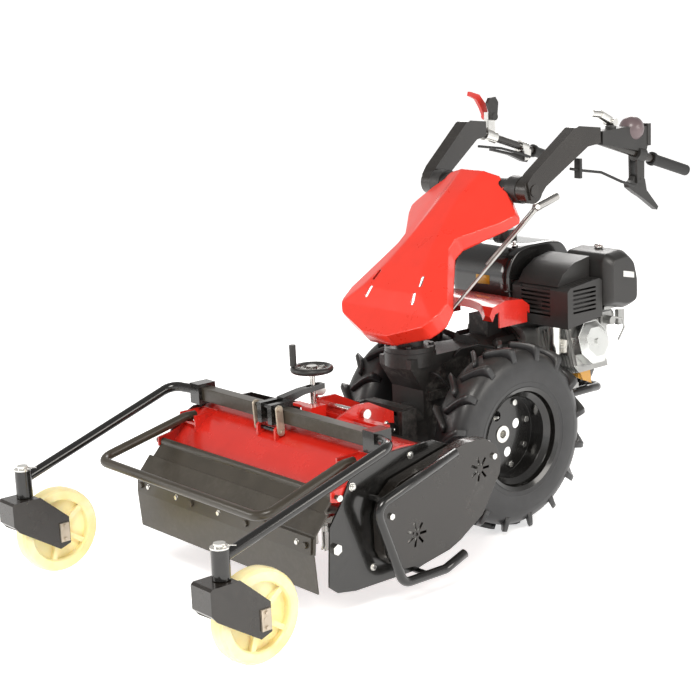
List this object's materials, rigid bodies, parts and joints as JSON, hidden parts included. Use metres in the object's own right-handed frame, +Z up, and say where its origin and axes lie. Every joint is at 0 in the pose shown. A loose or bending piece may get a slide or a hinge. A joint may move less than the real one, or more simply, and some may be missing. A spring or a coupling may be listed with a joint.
{
  "type": "brush mower",
  "caption": "Walk-behind two-wheel tractor with rear engine and reversible handlebar, driving a front flail mower carried on swivelling caster wheels.",
  "frame": {"origin": "centre of the machine's footprint box, on the floor", "axes": "+Z up, -Y the working direction (mower and casters in front), +X the machine's left side"},
  "size_m": [1.032, 2.0392, 1.242],
  "materials": {
    "amber_plastic": "gloss",
    "black_plastic": "satin",
    "bright_aluminium": "satin",
    "cast_aluminium": "cast",
    "cast_black": "satin",
    "cream_nylon": "satin",
    "painted_black": "gloss",
    "painted_olive": "satin",
    "painted_red": "gloss",
    "red_plastic": "gloss",
    "rubber": "matt",
    "silencer": "satin",
    "steel": "satin",
    "tyre_rubber": "satin",
    "zinc_steel": "satin"
  },
  "bodies": {
    "machine": {"gearbox_housing": "cast_black", "bell_housing": "cast_black", "engine_block": "cast_aluminium", "valve_cover": "bright_aluminium", "muffler_guard": "silencer", "exhaust_pipe": "zinc_steel", "air_cleaner": "black_plastic", "fuel_tank": "painted_black", "recoil_cover": "painted_black", "carburettor": "cast_aluminium", "oil_plug": "amber_plastic", "engine_shroud": "painted_red", "rear_guard_bar": "painted_black", "hitch_coupler": "cast_black", "control_cables": "rubber", "mower_housing": "painted_red", "side_plates": "painted_black", "mower_gearbox": "cast_black", "belt_cover": "painted_black", "drive_belt": "rubber", "skid_guard": "painted_black", "bumper": "painted_olive", "frame_bolts": "zinc_steel"},
    "wheel_left": {"tyre_left": "tyre_rubber", "rim_left": "painted_black", "axle_left": "steel"},
    "wheel_right": {"tyre_right": "tyre_rubber", "rim_right": "painted_black", "axle_right": "steel"},
    "crank": {"crankshaft": "steel"},
    "fuel_cap": {"fuel_cap": "black_plastic"},
    "starter_grip": {"starter_grip": "black_plastic"},
    "rotor": {"rotor_shaft": "steel", "flails": "steel"},
    "cross_shaft": {"cross_shaft": "steel"},
    "pto_shaft": {"pto_shaft": "steel"},
    "front_guard": {"front_guard": "painted_olive", "guard_flap": "painted_olive"},
    "caster_frame": {"square_bar": "painted_olive", "height_arm": "painted_black", "caster_arms": "painted_black"},
    "fork_left": {"fork_left": "painted_black"},
    "fork_right": {"fork_right": "painted_black"},
    "caster_left": {"caster_wheel_left": "cream_nylon"},
    "caster_right": {"caster_wheel_right": "cream_nylon"},
    "handwheel": {"handwheel": "black_plastic"},
    "hitch_lever": {"hitch_lever": "zinc_steel"},
    "column": {"column_post": "cast_black", "column_cover": "red_plastic", "handle_bracket": "cast_black"},
    "shift_rod": {"shift_rod": "steel"},
    "handlebar": {"handle_arms": "painted_black", "grips": "rubber", "lever_mounts": "black_plastic", "handle_cables": "rubber"},
    "throttle_lever": {"throttle_lever": "zinc_steel"},
    "clutch_lever": {"clutch_lever": "black_plastic"},
    "brake_lever": {"brake_lever": "black_plastic"},
    "red_lever": {"red_lever": "red_plastic"},
    "black_lever": {"black_lever": "black_plastic"}
  },
  "joints": [
    {"name": "wheel_left_spin", "type": "hinge", "parent": "machine", "child": "wheel_left", "pos_m": [0.204, 0.264, 0.279], "axis": [1, 0, 0], "continuous": true},
    {"name": "wheel_right_spin", "type": "hinge", "parent": "machine", "child": "wheel_right", "pos_m": [-0.204, 0.264, 0.279], "axis": [1, 0, 0], "continuous": true},
    {"name": "rotor_spin", "type": "hinge", "parent": "machine", "child": "rotor", "pos_m": [0, -0.321, 0.18], "axis": [1, 0, 0], "continuous": true},
    {"name": "cross_shaft_spin", "type": "hinge", "parent": "machine", "child": "cross_shaft", "pos_m": [0, -0.087, 0.305], "axis": [1, 0, 0], "continuous": true},
    {"name": "pto_shaft_spin", "type": "hinge", "parent": "machine", "child": "pto_shaft", "pos_m": [0, 0.064, 0.305], "axis": [0, 1, 0], "continuous": true},
    {"name": "crank_spin", "type": "hinge", "parent": "machine", "child": "crank", "pos_m": [0, 0.464, 0.445], "axis": [0, 1, 0], "continuous": true},
    {"name": "fuel_cap_turn", "type": "hinge", "parent": "machine", "child": "fuel_cap", "pos_m": [-0.11, 0.584, 0.8], "axis": [0, 0, 1], "range_deg": [0, 90]},
    {"name": "starter_pull", "type": "slide", "parent": "machine", "child": "starter_grip", "axis": [-1, 0, 0], "range_m": [0, 0.35]},
    {"name": "front_guard_lift", "type": "hinge", "parent": "machine", "child": "front_guard", "pos_m": [0, -0.545, 0.323], "axis": [-1, 0, 0], "range_deg": [0, 36]},
    {"name": "mower_height", "type": "hinge", "parent": "machine", "child": "caster_frame", "pos_m": [-0.03, -0.426, 0.4], "axis": [1, 0, 0], "range_deg": [-4, 5]},
    {"name": "height_handwheel", "type": "hinge", "parent": "machine", "child": "handwheel", "pos_m": [-0.03, -0.269, 0.541], "axis": [0, 0, 1], "range_deg": [-1200, 1500]},
    {"name": "caster_swivel_left", "type": "hinge", "parent": "caster_frame", "child": "fork_left", "pos_m": [0.466, -0.958, 0.28], "axis": [0, 0, 1], "continuous": true},
    {"name": "caster_swivel_right", "type": "hinge", "parent": "caster_frame", "child": "fork_right", "pos_m": [-0.466, -0.958, 0.28], "axis": [0, 0, 1], "continuous": true},
    {"name": "caster_spin_left", "type": "hinge", "parent": "fork_left", "child": "caster_left", "pos_m": [0.466, -0.867, 0.12], "axis": [1, 0, 0], "continuous": true},
    {"name": "caster_spin_right", "type": "hinge", "parent": "fork_right", "child": "caster_right", "pos_m": [-0.466, -0.867, 0.12], "axis": [1, 0, 0], "continuous": true},
    {"name": "hitch_lock", "type": "hinge", "parent": "machine", "child": "hitch_lever", "pos_m": [0, -0.176, 0.412], "axis": [-1, 0, 0], "range_deg": [0, 60]},
    {"name": "handlebar_swing", "type": "hinge", "parent": "machine", "child": "column", "pos_m": [0, 0.074, 0.55], "axis": [0, 0, 1], "range_deg": [0, 180]},
    {"name": "handlebar_tilt", "type": "hinge", "parent": "column", "child": "handlebar", "pos_m": [0, 0.373, 0.986], "axis": [1, 0, 0], "range_deg": [-12, 25]},
    {"name": "gear_select", "type": "slide", "parent": "column", "child": "shift_rod", "axis": [0.3827, 0.5493, 0.7429], "range_m": [-0.03, 0.006]},
    {"name": "throttle", "type": "hinge", "parent": "handlebar", "child": "throttle_lever", "pos_m": [0.23982, 0.682, 1.158], "axis": [1, 0, 0], "range_deg": [-45, 12]},
    {"name": "clutch", "type": "hinge", "parent": "handlebar", "child": "clutch_lever", "pos_m": [0.23982, 0.798, 0.978], "axis": [1, 0, 0], "range_deg": [0, 28]},
    {"name": "brake", "type": "hinge", "parent": "handlebar", "child": "brake_lever", "pos_m": [-0.23982, 0.81, 1.02], "axis": [-1, 0, 0], "range_deg": [0, 5.5]},
    {"name": "drive_lever", "type": "hinge", "parent": "handlebar", "child": "red_lever", "pos_m": [-0.25782, 0.657, 1.16], "axis": [1, 0, 0], "range_deg": [-40, 10]},
    {"name": "lock_lever", "type": "hinge", "parent": "handlebar", "child": "black_lever", "pos_m": [-0.22382, 0.657, 1.16], "axis": [1, 0, 0], "range_deg": [-30, 30]}
  ],
  "couplings": [
    {"joint": "cross_shaft_spin", "follows": "rotor_spin", "ratio": 0.89655},
    {"joint": "pto_shaft_spin", "follows": "rotor_spin", "ratio": 0.89655},
    {"joint": "crank_spin", "follows": "rotor_spin", "ratio": -1.6138},
    {"joint": "height_handwheel", "follows": "mower_height", "ratio": 280}
  ]
}
